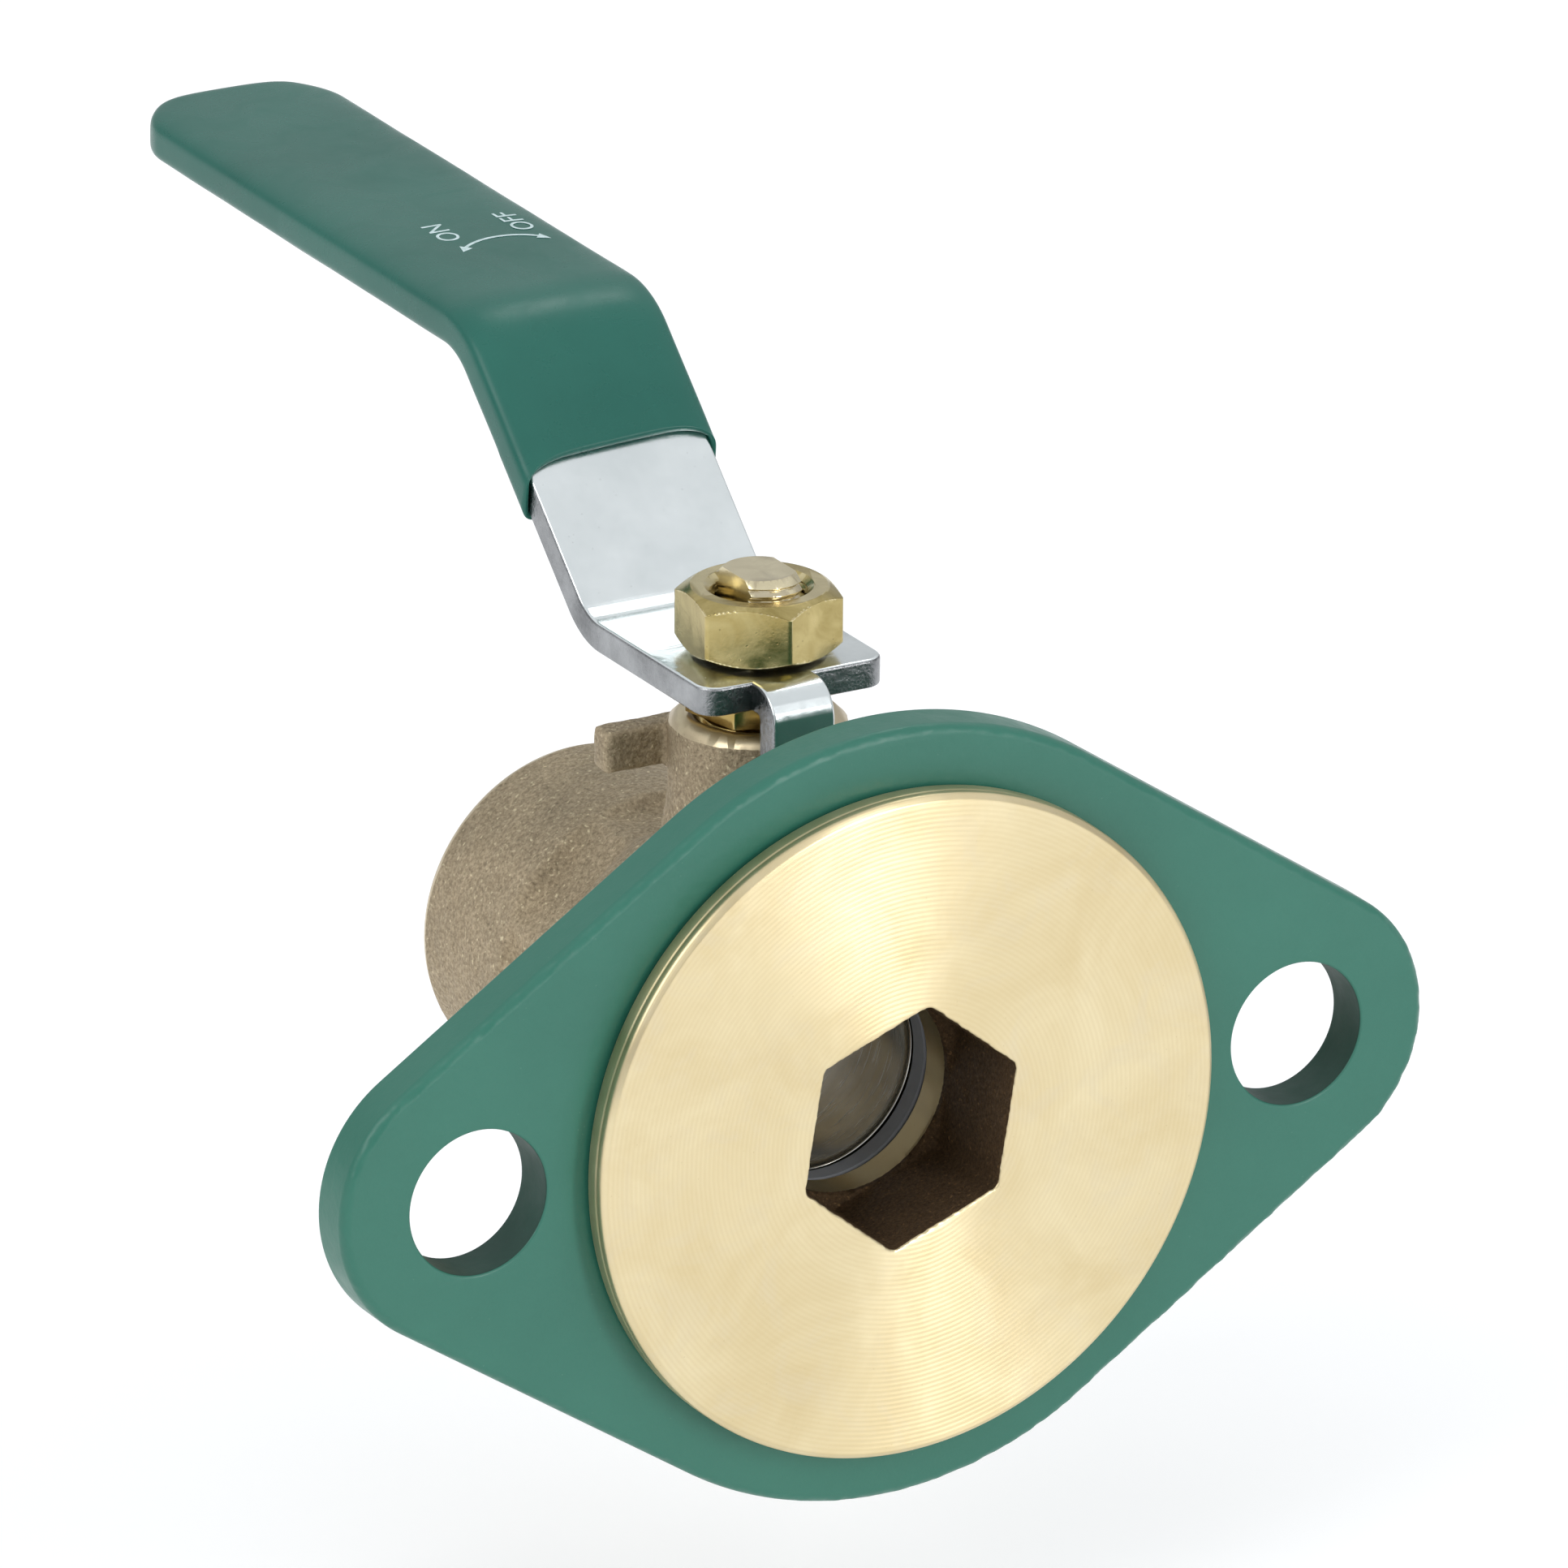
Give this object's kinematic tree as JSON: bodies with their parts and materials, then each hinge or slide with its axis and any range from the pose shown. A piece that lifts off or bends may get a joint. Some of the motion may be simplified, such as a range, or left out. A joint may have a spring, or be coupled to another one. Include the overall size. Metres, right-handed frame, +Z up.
{
  "type": "pump shut-off flange",
  "caption": "Bolt-on pump isolation flange: a lever ball valve with a machined disc face and an oval flange that swivels behind it.",
  "frame": {"origin": "centre of the disc's sealing face, on the waterway's axis", "axes": "+Y back along the waterway from the pump's side to the pipe's side, +X along the line of the bolt holes, +Z up the stem towards the lever"},
  "size_m": [0.106, 0.1269, 0.0921],
  "materials": {
    "machined_brass": "machined, fine lathe rings",
    "cast_bronze": "sand-cast, dull",
    "green_paint": "semi-gloss paint on stamped steel",
    "green_vinyl": "dipped vinyl",
    "zinc_plated_steel": "bright zinc plate",
    "plated_ball": "plated, brushed bore",
    "seat_plastic": "filled PTFE"
  },
  "bodies": {
    "housing": {"valve_body": "cast_bronze", "disc_tailpiece": "machined_brass", "body_seal": "seat_plastic", "seat_front": "seat_plastic", "seat_rear": "seat_plastic", "thrust_washer": "seat_plastic", "packing_ring_1": "seat_plastic", "packing_ring_2": "seat_plastic", "packing_ring_3": "seat_plastic", "gland_ring": "machined_brass", "packing_nut": "machined_brass"},
    "handle": {"lever": "zinc_plated_steel", "lever_grip": "green_vinyl", "lever_nut": "machined_brass", "stem": "machined_brass"},
    "ball": {"ball": "plated_ball"},
    "flange": {"swivel_flange": "green_paint"}
  },
  "joints": [
    {"name": "lever_turn", "type": "hinge", "parent": "housing", "child": "handle", "pos_m": [0, 0.027, 0], "axis": [0, 0, -1], "range_deg": [0, 90]},
    {"name": "ball_turn", "type": "hinge", "parent": "housing", "child": "ball", "pos_m": [0, 0.027, 0], "axis": [0, 0, -1], "range_deg": [0, 90]},
    {"name": "flange_swivel", "type": "hinge", "parent": "housing", "child": "flange", "pos_m": [0, 0, 0], "axis": [0, 1, 0], "continuous": true}
  ],
  "couplings": [
    {"joint": "ball_turn", "follows": "lever_turn", "ratio": 1}
  ]
}
